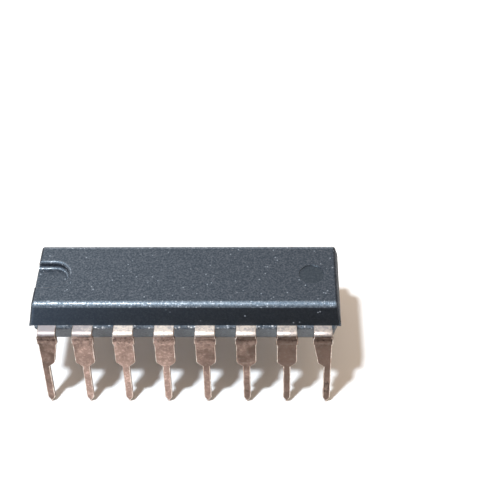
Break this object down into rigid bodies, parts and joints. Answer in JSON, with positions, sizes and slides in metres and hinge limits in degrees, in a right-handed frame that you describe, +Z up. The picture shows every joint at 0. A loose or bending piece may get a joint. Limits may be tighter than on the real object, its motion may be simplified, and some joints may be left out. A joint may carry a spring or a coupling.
{
  "type": "dip integrated circuit",
  "caption": "Dual in-line packaged integrated circuit: a drafted resin body with an end notch, and two rows of bent leads with pointed tips.",
  "frame": {"origin": "middle of the footprint of the lead tips, in the plane that the tips stand on", "axes": "+X along the body away from the notch, +Y towards the row that faces lead 1's row, +Z up through the marked top"},
  "size_m": [0.0194, 0.0092, 0.0072],
  "materials": {
    "resin": "moulded epoxy with a fine sparkling grain",
    "lead_frame": "copper alloy strip, thinly tinned and tarnished pinkish brown",
    "adhesive": "silver-filled epoxy",
    "silicon": "polished silicon",
    "gold": "drawn gold wire"
  },
  "bodies": {
    "root": {"package_body": "resin", "lead_1": "lead_frame", "lead_2": "lead_frame", "lead_3": "lead_frame", "lead_4": "lead_frame", "lead_5": "lead_frame", "lead_6": "lead_frame", "lead_7": "lead_frame", "lead_8": "lead_frame", "lead_9": "lead_frame", "lead_10": "lead_frame", "lead_11": "lead_frame", "lead_12": "lead_frame", "lead_13": "lead_frame", "lead_14": "lead_frame", "lead_15": "lead_frame", "lead_16": "lead_frame", "die_pad": "lead_frame", "die_attach": "adhesive", "die": "silicon", "bond_wire_1": "gold", "bond_wire_2": "gold", "bond_wire_3": "gold", "bond_wire_4": "gold", "bond_wire_5": "gold", "bond_wire_6": "gold", "bond_wire_7": "gold", "bond_wire_8": "gold", "bond_wire_9": "gold", "bond_wire_10": "gold", "bond_wire_11": "gold", "bond_wire_12": "gold", "bond_wire_13": "gold", "bond_wire_14": "gold", "bond_wire_15": "gold", "bond_wire_16": "gold"}
  },
  "joints": []
}
